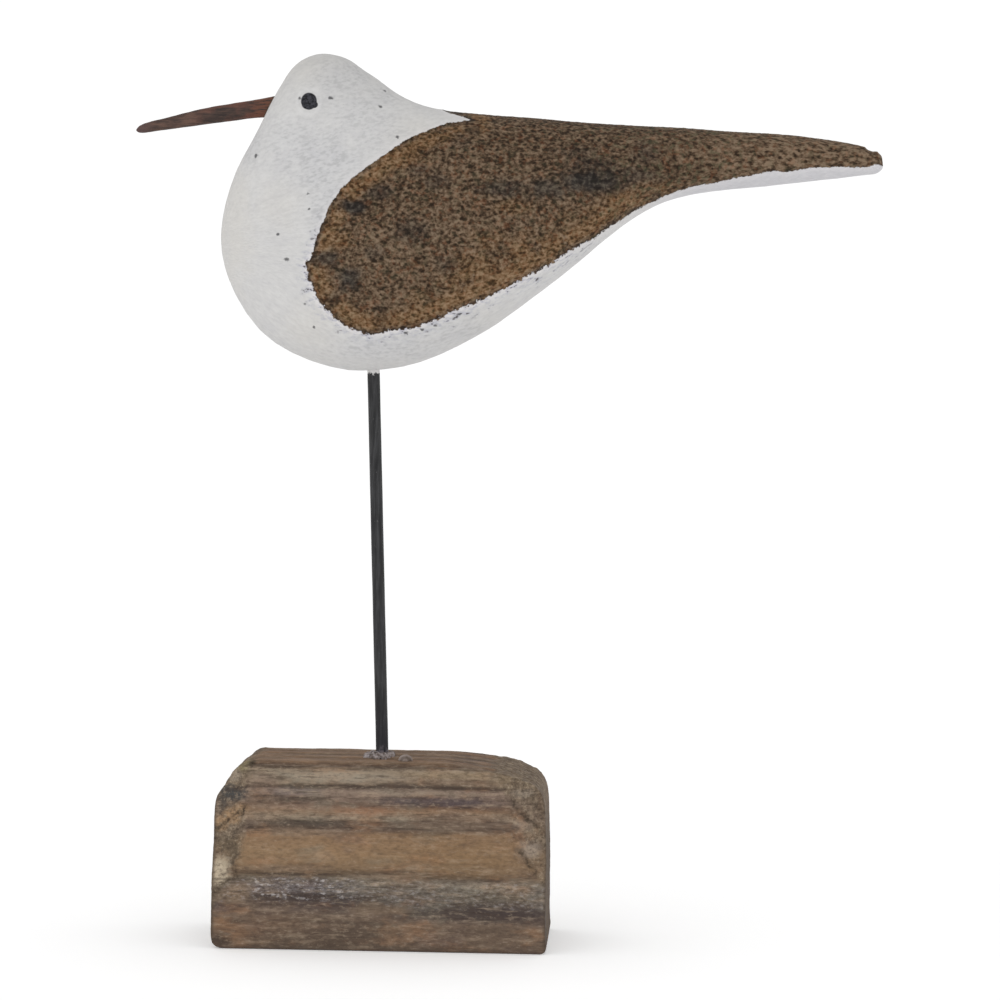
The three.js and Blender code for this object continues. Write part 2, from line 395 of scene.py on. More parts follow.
# Stains on the front face: x, y and z of the middle, reach along x and z, strength and colour.
STAIN_DEEP = 12
TIMBER_STAINS = [
    (-49, -24, 51, 6, 3.2, 0.9, (62, 64, 65)), (-52, -25, 46, 3.6, 3, 0.6, (66, 64, 62)),
    (-52.6, -25, 40.6, 3.2, 3, 0.9, (166, 136, 104)), (-48.6, -25, 43.4, 3.6, 2.8, 0.9, (160, 130, 98)),
    (-45.2, -25, 46.2, 2.8, 2, 0.75, (152, 124, 94)), (-49, -24, 34, 5, 5, 0.6, (84, 75, 62)),
    (-52, -26, 25.4, 3.8, 5.6, 0.95, (188, 173, 150)), (-42.6, -22, 60.6, 1.7, 1.2, 0.95, (40, 33, 16)),
    (-45, -22, 60, 2.6, 2.2, 0.7, (146, 135, 102)), (-51.6, -27, 2.4, 4, 2.6, 0.7, (58, 47, 40)),
    (-51, -27, 8, 4, 3, 0.5, (140, 106, 78)), (-48, -24, 56.6, 3, 2.6, 0.45, (146, 136, 124)),
    (-28, -27, 21, 20, 3.2, 0.5, (96, 91, 98)), (-26, -27, 17.4, 22, 1.8, 0.75, (58, 50, 50)),
    (49, -24, 33.8, 4, 3.4, 0.75, (154, 141, 128)), (47.4, -23, 42.4, 4, 2.4, 0.45, (136, 122, 110)),
    (46.6, -22, 52.4, 4, 1.7, 0.6, (148, 136, 122)), (52.8, -23, 50, 2.2, 6, 0.6, (84, 66, 53)),
    (34, -27, 12.9, 24, 2.8, 0.8, (64, 54, 52)), (-24, -27, 41.8, 16, 1.5, 0.5, (66, 63, 57)),
    (20, -27, 49.4, 22, 1.8, 0.7, (70, 63, 70)), (-10, -27, 5, 14, 4, 0.4, (80, 68, 58)),
    (-14, -25, 57, 22, 2.1, 0.45, (160, 152, 136)), (-30, -26, 52, 12, 1.8, 0.4, (120, 112, 110)),
    (24, -27, 41.6, 20, 2.2, 0.6, (124, 106, 90)), (-6, -27, 46, 14, 1.8, 0.5, (150, 112, 87)),
    (26, -27, 44.4, 16, 1.6, 0.55, (104, 82, 67)), (30, -27, 20, 22, 3, 0.35, (134, 124, 107)),
    (-34, -27, 8, 12, 4, 0.15, (142, 109, 83)), (6, -25, 60, 26, 0.9, 0.4, (68, 56, 47)),
    (24, -25, 58, 18, 1.4, 0.55, (144, 124, 98)), (-36, -25, 60, 12, 0.8, 0.6, (74, 60, 50)),
    (-26, -26, 49.6, 12, 0.9, 0.6, (66, 57, 49)), (-26, -23, 59.9, 14, 0.8, 0.6, (92, 74, 60)),
    (-38, -26, 55, 6, 3, 0.4, (142, 119, 104)), (28, -27, 32, 24, 7, 0.4, (122, 96, 68)),
    (-26, -19, 62.4, 15, 1.1, 0.8, (144, 124, 108)), (26, -25, 55.8, 18, 1.2, 0.65, (104, 84, 68)),
    (-28, -27, 46.8, 14, 1.1, 0.4, (152, 130, 112)), (-20, -26, 54, 22, 0.8, 0.55, (76, 64, 54)),
    (8, -26, 52.2, 22, 1.1, 0.4, (148, 133, 116)), (28, -27, 22.9, 22, 1.3, 0.5, (134, 122, 108)),
    (2, -27, 18.6, 12, 1.8, 0.6, (88, 76, 67)), (0, -27, 13.8, 11, 2.3, 0.6, (124, 105, 86)),
    (-14, -27, 5, 28, 4, 0.42, (80, 66, 56)), (-46.3, -26, 18.5, 4.6, 3.6, 0.85, (140, 120, 100)),
    (41, -23, 56.6, 6, 1.8, 0.4, (138, 120, 96)), (-30, -26, 26.8, 16, 1.5, 0.5, (136, 116, 97)),
    (-26, -27, 38.6, 16, 1.3, 0.5, (146, 124, 103)), (0, -27, 24.6, 12, 1.3, 0.45, (136, 118, 100)),
    (30, -27, 17.6, 22, 2, 0.45, (96, 84, 69)), (-30, -27, 11, 14, 1.6, 0.3, (88, 72, 60)),
    (-29, -27, 25, 17, 0.6, 0.65, (56, 48, 42)), (-18, -27, 31, 5, 2.4, 0.35, (160, 136, 110)),
    (26, -26, 54, 16, 0.8, 0.5, (76, 64, 54)), (46, -26, 24, 6, 1.6, 0.4, (126, 114, 100)),
    (-50, -26, 17.5, 5, 3, 0.5, (132, 112, 92)),
]


def timber_paint(place):
    """Old timber: rings, stains, streaks of grain, worn ends and end grain, one over another."""
    radius = ring_radius(place)
    x, z = place.axis("X"), place.axis("Z")
    rings = ring_ramp(radius, [(mm, tone(*colour)) for mm, colour in RING_COLOURS])
    streaks = place.noise(1.9 * MM, 4.0, 0.68, (5.5, 1, 1))
    lines = place.noise(1.1 * MM, 3.0, 0.65, (13, 1, 1))
    threads = place.noise(0.95 * MM, 3.0, 0.68, (2.2, 1, 1))
    mottle = place.noise(2.8 * MM, 4.0, 0.7, (1.6, 1, 1))
    reddish = place.noise(9 * MM, 4.0, 0.65, (2.2, 1, 1))
    greyish = place.vector("ADD", (0.4, 0.1, 0.7)).noise(11 * MM, 4.0, 0.65, (2.4, 1, 1))
    worn = worn_ends(place)
    rough = rough_band(radius) * (1 - worn)
    smooth_band = radius.rise(52.6 * MM, 54 * MM) * (1 - radius.rise(61.5 * MM, 63.5 * MM))
    lined = (1 - smooth_band * 0.7) * (0.65 + z.rise(10 * MM, 16 * MM) * 0.35)

    faded = place.noise(15 * MM, 3.0, 0.6, (1.8, 1, 1)).rise(0.5, 0.66) * lined
    colour = rings.blend(faded * 0.4, tone(124, 104, 85))
    colour = colour.blend(reddish.rise(0.5, 0.66) * 0.42, tone(150, 112, 82))
    colour = colour.blend(greyish.rise(0.52, 0.68) * 0.42, tone(118, 112, 98))
    colour = colour.blend((1 - greyish.rise(0.34, 0.46)) * 0.3, tone(96, 80, 76))
    patina = place.noise(2.3 * MM, 4.0, 0.72, (1, 1, 1.3)).ramp(
        [
            (0.32, tone(66, 56, 46)), (0.45, tone(102, 88, 72)), (0.56, tone(126, 110, 91)),
            (0.7, tone(164, 149, 126)),
        ]
    )
    colour = colour.blend(worn * (0.62 + z.rise(48 * MM, 56 * MM) * 0.25), patina)
    for sx, sy, sz, along, up, strength, stain in TIMBER_STAINS:
        off = place.gap((sx * MM, sy * MM, sz * MM), (along * MM, STAIN_DEEP * MM, up * MM))
        edge = (off + (mottle - 0.5) * 1.6 + (threads - 0.5) * 0.9).rise(0.35, 1.25)
        colour = colour.blend((1 - edge) * strength, tone(*stain))
    colour = colour.blend(streaks.rise(0.52, 0.68) * (lined * 0.24 + 0.14), tone(168, 148, 126))
    colour = colour.blend((1 - streaks.rise(0.34, 0.48)) * (lined * 0.3 + 0.18), tone(74, 60, 51))
    colour = colour.blend((1 - lines.rise(0.32, 0.44)) * lined * 0.55, tone(56, 45, 38))
    colour = colour.blend((1 - threads.rise(0.36, 0.5)) * (0.2 + lined * 0.14), tone(62, 50, 42))
    colour = colour.blend(threads.rise(0.54, 0.7) * (0.16 + lined * 0.12), tone(176, 158, 137))
    colour = colour.blend((1 - mottle.rise(0.36, 0.48)) * 0.26, tone(80, 66, 56))
    flecks = place.noise(1.0 * MM, 3.0, 0.7, (2.4, 1, 1))
    frosted = x.rise(-46 * MM, -36 * MM) * (1 - x.rise(-18 * MM, -6 * MM))
    colour = colour.blend(flecks.rise(0.53, 0.66) * rough * (0.24 + frosted * 0.42), tone(186, 180, 178))
    colour = colour.blend((1 - flecks.rise(0.38, 0.5)) * rough * (0.4 + frosted * 0.22), tone(64, 54, 48))
    grit = place.noise(1.2 * MM, 3.0, 0.6)
    colour = colour.blend((1 - grit.rise(0.34, 0.48)) * worn * 0.45, tone(58, 47, 39))
    colour = colour.blend(grit.rise(0.56, 0.68) * worn * 0.3, tone(172, 156, 134))
    # painted shade darkens the cracks
    colour = colour.blend(cracks(place), tone(62, 51, 40))
    # painted light: the top face lighter and warmer
    colour = colour.blend(z.rise(60.5 * MM, 61.8 * MM) * 0.3, tone(134, 104, 76))
    foot = 1 - (z + (mottle - 0.5) * (6 * MM)).rise(0.4 * MM, 2.8 * MM)
    colour = colour.blend(foot * 0.5, tone(74, 61, 53))

    # end grain: darker, its own colour and painted shade, with short checks that run out from the pith
    middle = place.vector("SUBTRACT", PITH)
    turn = middle.axis("Z").math("ARCTAN2", middle.axis("Z"), middle.axis("Y"))
    fan = place.node("ShaderNodeCombineXYZ", {}, {0: turn * 0.07, 1: radius * 0.12, 2: 0.0})
    checks = fan.noise(0.9 * MM, 3.0, 0.6)
    end_face = abs(x).rise(53.4 * MM, 54.8 * MM)
    colour = colour.blend(end_face * 0.72, tone(74, 62, 52))
    colour = colour.blend((1 - checks.rise(0.3, 0.42)) * end_face * 0.8, tone(44, 36, 31))
    return {
        "Base Color": colour,
        "Roughness": 0.92 - streaks * 0.16,
        "Height": (streaks * 0.3 + threads * 0.3 + lines * 0.2 + flecks * rough * 0.35) * MM,
    }


coat(block, "weathered_timber", timber_paint, Specular_IOR_Level=0.25)
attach(block, "root")
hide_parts("base_block")


# The rod: a straight length of round bar painted black, pushed into the block and the body.
# Some of the bird's white paint has run on to its top, and glue is smeared on its foot.

ROD_RADIUS = 2 * MM
END_GAP = 0.1 * MM
RELIEF_CUTS = 240
rod_low, rod_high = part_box("leg_rod")
rod_length = (rod_high.z - rod_low.z) / math.cos(lean) - END_GAP
bpy.ops.mesh.primitive_cylinder_add(vertices=48, radius=ROD_RADIUS, depth=rod_length)
rod = bpy.context.object
rod.name = "painted_rod"
rod.location = rod_place + rod_axis * (((rod_low.z + rod_high.z) / 2 - rod_place.z) / rod_axis.z)
rod.rotation_euler = (0, -lean, 0)
bpy.ops.object.transform_apply(location=True, rotation=True, scale=True)
bpy.ops.object.mode_set(mode="EDIT")
bpy.ops.mesh.select_mode(type="EDGE")
bpy.ops.mesh.select_all(action="DESELECT")
bpy.ops.object.mode_set(mode="OBJECT")
for edge in rod.data.edges:
    one, other = (rod.data.vertices[i].co for i in edge.vertices)
    edge.select = abs(one.z - other.z) > 10 * MM
bpy.ops.object.mode_set(mode="EDIT")
bpy.ops.mesh.subdivide_edgering(number_cuts=RELIEF_CUTS, smoothness=0)
bpy.ops.object.mode_set(mode="OBJECT")


def rod_relief(place):
    """Brush marks and runs in thick paint."""
    brushed = place.noise(1.6 * MM, 2.0, 0.5, (1, 1, 8)) - 0.5
    runs = place.noise(7 * MM, 2.0, 0.5, (1, 1, 3)) - 0.5
    return (brushed * 0.12 + runs * 0.1 + 0.08) * MM


carve(rod, rod_relief)


def rod_paint(place):
    """Black paint with specks, white run on to its top and glue smeared on its foot."""
    height = place.axis("Z")
    streaks = place.noise(1.0 * MM, 3.0, 0.6, (1, 1, 12))
    specks = place.noise(0.9 * MM, 3.0, 0.65)
    edge = place.noise(1.3 * MM, 2.0, 0.6) - 0.5
    colour = streaks.ramp([(0.35, tone(26, 26, 28)), (0.5, tone(42, 42, 43)), (0.68, tone(60, 60, 62))])
    colour = colour.blend((1 - height.rise(64 * MM, 80 * MM)) * 0.4, tone(38, 36, 46))
    smear = (1 - (height + edge * (5 * MM)).rise(61.5 * MM, 65.5 * MM)) * streaks.rise(0.44, 0.56)
    colour = colour.blend(smear * 0.6, tone(150, 140, 146))
    colour = colour.blend(specks.rise(0.66, 0.72) * 0.45, tone(118, 116, 116))
    drip = place.axis("X") * -0.25
    white = (height + drip + edge * (3.6 * MM)).rise(190.2 * MM, 190.7 * MM)
    colour = colour.blend(white, tone(206, 204, 203))
    return {
        "Base Color": colour,
        "Roughness": 0.46 + streaks * 0.2 + white * 0.2,
        "Height": (streaks * 0.06 + white * 0.1) * MM,
    }


coat(rod, "black_paint", rod_paint, Specular_IOR_Level=0.25)
for face in rod.data.polygons:
    face.use_smooth = abs(face.normal.z) < 0.9
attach(rod, "root")
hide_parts("leg_rod")


# The glue: grey-white crumbs round the foot of the rod and in front of it, and one round drop
# beside it with a swirl in it. It is dried wood glue, left as it squeezed out and ran.

# How far each crumb lies from the rod's foot along x and y, and its radius, in millimetres.
GLUE_CRUMBS = [
    (-3.0, -1.6, 1.4), (-1.4, -3.0, 1.3), (1.3, -3.0, 1.2), (2.8, -1.4, 1.6), (2.9, 1.2, 1.4),
    (1.4, 2.8, 1.3), (-1.4, 3.0, 1.3), (-3.2, 1.0, 1.5), (-4.4, -4.6, 1.5), (-1.8, -5.6, 1.8),
    (0.9, -6.0, 1.5), (3.0, -4.8, 1.5), (-2.8, -8.6, 1.4), (-0.2, -9.4, 1.7), (2.2, -8.4, 1.3),
    (-1.0, -12.6, 1.1), (1.8, -12.0, 0.9), (-4.8, -8.4, 0.9),
]
CRUMB_RISE = 0.15 * MM
glue_parts = []
for aside, ahead, size in GLUE_CRUMBS:
    bpy.ops.mesh.primitive_ico_sphere_add(
        subdivisions=2,
        radius=size * MM,
        location=rod_place + Vector((aside * MM, ahead * MM, CRUMB_RISE)),
    )
    glue_parts.append(bpy.context.object)
DROP = Vector((7.6 * MM, -17 * MM, 61.7 * MM))
bpy.ops.mesh.primitive_ico_sphere_add(subdivisions=3, radius=2.3 * MM, location=DROP, scale=(1, 1, 0.85))
glue_parts.append(bpy.context.object)
bpy.ops.object.select_all(action="DESELECT")
for part in glue_parts:
    part.select_set(True)
glue = glue_parts[0]
bpy.context.view_layer.objects.active = glue
bpy.ops.object.join()
glue.name = "dried_glue"
bpy.ops.object.transform_apply(location=True, rotation=True, scale=True)
apply(glue, "REMESH", mode="VOXEL", voxel_size=0.2 * MM, adaptivity=0.0)
apply(glue, "SMOOTH", factor=0.5, iterations=4)


def drop_swirl(place, wander):
    """Where the round drop of glue is, and the swirl that it set in, from -1 to 1."""
    on_drop = 1 - place.gap(DROP, (2.8 * MM,) * 3).rise(0.9, 1.2)
    turns = (place.gap(DROP, (1 * MM, 0, 0.9 * MM)) + wander) * 3.4
    return on_drop, turns.math("SINE", turns)


def glue_relief(place):
    """Lumps on the crumbs, and a shallow swirl on the drop."""
    lumps = place.noise(1.9 * MM, 3.0, 0.55) - 0.5
    on_drop, swirl = drop_swirl(place, 0.0)
    return (lumps * (1 - on_drop) * 1.0 + lumps * on_drop * 0.4 + swirl * on_drop * 0.08) * MM


carve(glue, glue_relief)


def glue_paint(place):
    """Grey glue with painted shade in its hollows, painted highlights, and rings on the drop."""
    crumbs = place.noise(2.2 * MM, 3.0, 0.6)
    # the dark end of the ramp is painted shade in the hollows
    colour = crumbs.ramp([(0.38, tone(58, 50, 47)), (0.5, tone(106, 94, 88)), (0.62, tone(152, 142, 141))])
    # painted highlights: pale spots of light on the crests
    painted_highlight = place.noise(2.6 * MM, 2.0, 0.6).rise(0.54, 0.64)
    colour = colour.blend(painted_highlight * 0.55, tone(192, 184, 186))
    on_drop, swirl = drop_swirl(place, (crumbs - 0.5) * 1.6)
    ringed = (swirl * 0.5 + 0.5).ramp([(0.2, tone(92, 79, 69)), (0.8, tone(130, 116, 108))])
    return {
        "Base Color": colour.blend(on_drop * 0.85, ringed),
        "Roughness": 0.5 + crumbs * 0.3,
        "Height": crumbs * (0.15 * MM),
    }


def shade_smooth(piece):
    """Shades a piece as one smooth surface."""
    for face in piece.data.polygons:
        face.use_smooth = True


coat(glue, "old_glue", glue_paint, Specular_IOR_Level=0.35)
shade_smooth(glue)
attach(glue, "root")


# The body: head, breast and tail carved from one piece of wood and painted white. The wings
# and the back are stippled brown over black, with a ragged edge, and the eyes are black dots.


def in_bill_hole(centre, normal):
    """Whether a face of the head is in the socket of the bill, and not beside its mouth."""
    middle_high = 276.6 * MM + (centre.x + 49 * MM) * 0.1
    return (
        abs(centre.y) < 3.2 * MM
        and -52 * MM < centre.x < -30 * MM
        and abs(centre.z - middle_high) < 3.6 * MM
        and (normal.x > -0.5 or centre.x > -35 * MM)
    )


body = worked_copy("bird_body", "painted_body")
plug(body, lambda centre, normal: off_rod(centre) < IN_BORE and abs(normal.dot(rod_axis)) < 0.5)
plug(body, in_bill_hole)
even_skin(body, 1.42 * MM, 8)
apply(body, "SUBSURF", levels=1, render_levels=1)

# The edge of the brown paint as [x, z] in millimetres: from the nape along the front of the wing,
# under it, along the tail, and back outside the form.
WING_EDGE = [
    (16.4, 277.4), (16.8, 276.6), (18.8, 275.5), (22.5, 274.3), (26, 273.1), (27, 272.5),
    (26, 272.1), (22, 271.4), (18.3, 270.8), (11.6, 267.8), (5.5, 264.9),
    (-0.2, 260.5), (-6.2, 256.1), (-11.3, 252), (-15.1, 248.1), (-18.3, 242.9), (-20.8, 237.1),
    (-23.1, 230.3), (-24.6, 225.1), (-26.2, 223.8), (-25.1, 219.8), (-22.2, 213.1), (-19.5, 209.7),
    (-15.6, 206.3), (-11.2, 203.6), (-5, 201.9), (0.2, 203), (9.2, 204.3), (18.1, 208.1),
    (26.7, 211.8), (35.2, 215.8), (43.9, 220.4), (52.4, 225.4), (59.1, 230.1), (66.6, 234.3),
    (73.3, 239.1), (80.3, 244), (87.6, 247.7), (93.9, 250.4), (100.5, 252.3), (106.8, 253.3),
    (113, 254.8), (117.9, 255.8), (122.4, 256.8), (126.7, 257.4), (130, 256.9), (134.9, 258),
    (141.1, 258.7), (147.4, 259), (153, 258.9), (157, 259.2), (159.4, 259.8), (170, 259.6),
    (170, 310), (16.4, 310),
]


def inside_by(points, outline):
    """How far inside a closed outline each point lies, in its own unit; outside is negative."""
    nearest = np.full(len(points), 1e9)
    inside = np.zeros(len(points), bool)
    for one, other in zip(outline, np.roll(outline, -1, axis=0)):
        along = other - one
        share = np.clip(((points - one) @ along) / (along @ along), 0, 1)
        gap = points - (one + share[:, None] * along)
        nearest = np.minimum(nearest, np.hypot(gap[:, 0], gap[:, 1]))
        spans = (one[1] > points[:, 1]) != (other[1] > points[:, 1])
        if spans.any():
            crossing = one[0] + (points[:, 1] - one[1]) / (other[1] - one[1] + 1e-12) * along[0]
            inside ^= spans & (points[:, 0] < crossing)
    return np.where(inside, nearest, -nearest)


skin = np.empty(len(body.data.vertices) * 3)
body.data.vertices.foreach_get("co", skin)
skin = skin.reshape(-1, 3)
depth_in_wing = inside_by(skin[:, [0, 2]] / MM, np.array(WING_EDGE, float))
stored = body.data.attributes.new("wing", "FLOAT", "POINT")
stored.data.foreach_set("value", depth_in_wing.astype(np.float32))


def brush_path(place):
    """A place as brush strokes see it. They rise a little on the neck and follow the belly."""
    x, z = place.axis("X"), place.axis("Z")
    from_belly = x - 6 * MM
    bowl = from_belly * from_belly / (140 * MM)
    on_neck = z.rise(215 * MM, 240 * MM)
    neck_slope = 0.22
    across = z - bowl * (1 - on_neck) - x * on_neck * neck_slope
    return place.node("ShaderNodeCombineXYZ", {}, {0: x, 1: place.axis("Y"), 2: across})


def body_relief(place):
    """Knife facets, brush marks on the white, stipple on the wing and a notch in the tail."""
    wing = place.node("GeometryNodeInputNamedAttribute", {"data_type": "FLOAT"}, {0: "wing"})
    on_wing = wing.rise(-0.4, 0.6)
    rim = wing.rise(-2.0, -0.3) * (1 - wing.rise(-0.3, 0.4))
    facets = place.noise(18 * MM, 1.0, 0.5) - 0.5
    brushed = brush_path(place).noise(1.8 * MM, 2.0, 0.5, (3, 1.5, 1)) - 0.5
    stipple = place.noise(1.5 * MM, 2.0, 0.6, (1.3, 1, 1)) - 0.5
    notch = 1 - place.gap((158.2 * MM, 0, 265.4 * MM), (1 * MM, 8 * MM, 1.4 * MM)).rise(0.6, 2.4)
    height = facets * 0.5 + brushed * (1 - on_wing) * 0.16 + stipple * on_wing * 0.5
    return (height + 0.12 + rim * 0.12 - on_wing * 0.1 - notch * 0.7) * MM


carve(body, body_relief)


# Small grey pits in the white paint: x, y, z and size in millimetres.
PITS = [
    (-29.5, -18.3, 278.5, 0.55), (-19.5, -17.2, 278.9, 0.6), (-3.5, -13.1, 276.6, 0.55),
    (-2.4, -7.1, 282.3, 0.5), (2.8, -17.7, 266.2, 0.6), (-43.8, -17.4, 259.8, 0.7),
    (-25.9, -23.3, 247.1, 0.45), (-25.3, -23.8, 242, 0.4), (-35.7, -22.6, 233.7, 0.5),
    (-32.7, -22.9, 225.7, 0.6), (-26.7, -21.4, 211.2, 0.45), (-23.9, -18.8, 203.8, 0.5),
    (-38.6, -14, 268.5, 0.7), (-36.2, -15.6, 270.6, 0.5), (6.4, -19.6, 202.2, 0.7),
    (11.6, -19.5, 203.5, 0.55), (15.8, -19.3, 204.9, 0.6), (23.3, -19.3, 208.6, 0.6),
]
# Where the stippled wing is darkest: x, z, reach along x and z, strength.
WING_SHADOWS = [
    (66, 252.4, 14, 5.6, 1), (80, 254.5, 12, 3.2, 0.6), (52, 250, 11, 4, 0.8),
    (38, 249.6, 10, 3.6, 0.7), (27, 269, 4, 3, 0.6), (-11, 242.8, 6, 3.2, 1), (8, 235, 8, 5, 0.55),
    (-20, 225.6, 5, 3.6, 0.85), (-12, 218.8, 5, 5, 0.95), (-17.5, 212.6, 3.4, 3.4, 0.6),
    (46.5, 247, 5, 3, 0.3), (84, 261.5, 6, 5, 0.5), (66, 257.4, 11, 4.4, 0.6), (-2.4, 247.7, 6, 3, 0.6),
    (60, 262, 9, 3, 0.4), (9.8, 255.5, 4, 3, 0.5), (23, 265.5, 5, 4, 0.4), (-1.3, 208, 4, 4, 0.35),
    (20, 224, 5, 4, 0.5), (16.6, 252, 5, 4, 0.45), (-4, 228, 4, 3, 0.45),
]
# Where it is most golden.
WING_GLOW = [
    (78, 246.5, 11, 4, 0.9), (-15, 232, 5, 3.5, 0.8), (30, 221, 14, 8, 0.8), (48, 229, 14, 6, 0.8),
    (2, 259, 12, 4.5, 0.9), (14, 266, 9, 3, 0.7), (-22, 216, 3, 6, 0.7), (-8, 206, 10, 3, 0.8),
    (-13, 250, 5, 4, 0.9), (12, 208, 12, 4, 0.7), (64, 238, 12, 5, 0.4),
    (34, 232, 9, 4, 0.5), (42, 243.5, 8, 3, 0.5), (12, 213, 7, 4, 0.5),
    (92, 250.6, 8, 2.6, 0.6), (73, 243, 9, 3.5, 0.6),
]
# Where the white has yellowed, and where it is a cooler, darker grey.
WARM_WHITE = [
    (-52, 236, 9, 26, 0.8), (-24, 202, 12, 12, 0.6), (10, 268, 16, 9, 0.7), (-28, 290, 14, 8, 0.6),
    (-36, 243, 10, 10, 0.5), (40, 206, 30, 8, 0.4),
]
COOL_WHITE = [
    (-22, 258, 16, 12, 0.9), (-18, 244, 10, 16, 0.8), (-30, 262, 12, 12, 0.7), (-5, 270, 12, 12, 0.5),
    (-16, 286, 12, 9, 0.9), (-4, 281, 9, 7, 0.8), (0, 197, 24, 5, 0.8), (24, 203, 16, 6, 0.7),
    (-12, 274, 9, 9, 0.6), (-46, 264, 5, 9, 0.7),
]


NEAR_SIDE = -22
PATCH_DEEP = 26


def patches(place, spots, wander):
    """How strongly the nearest of the spots shows here. They lie on the near side, y below 0."""
    total = None
    for x, z, along, up, strength in spots:
        off = place.gap((x * MM, NEAR_SIDE * MM, z * MM), (along * MM, PATCH_DEEP * MM, up * MM))
        here = (1 - (off + wander).rise(0.25, 1.25)) * strength
        total = here if total is None else total.high(here)
    return total


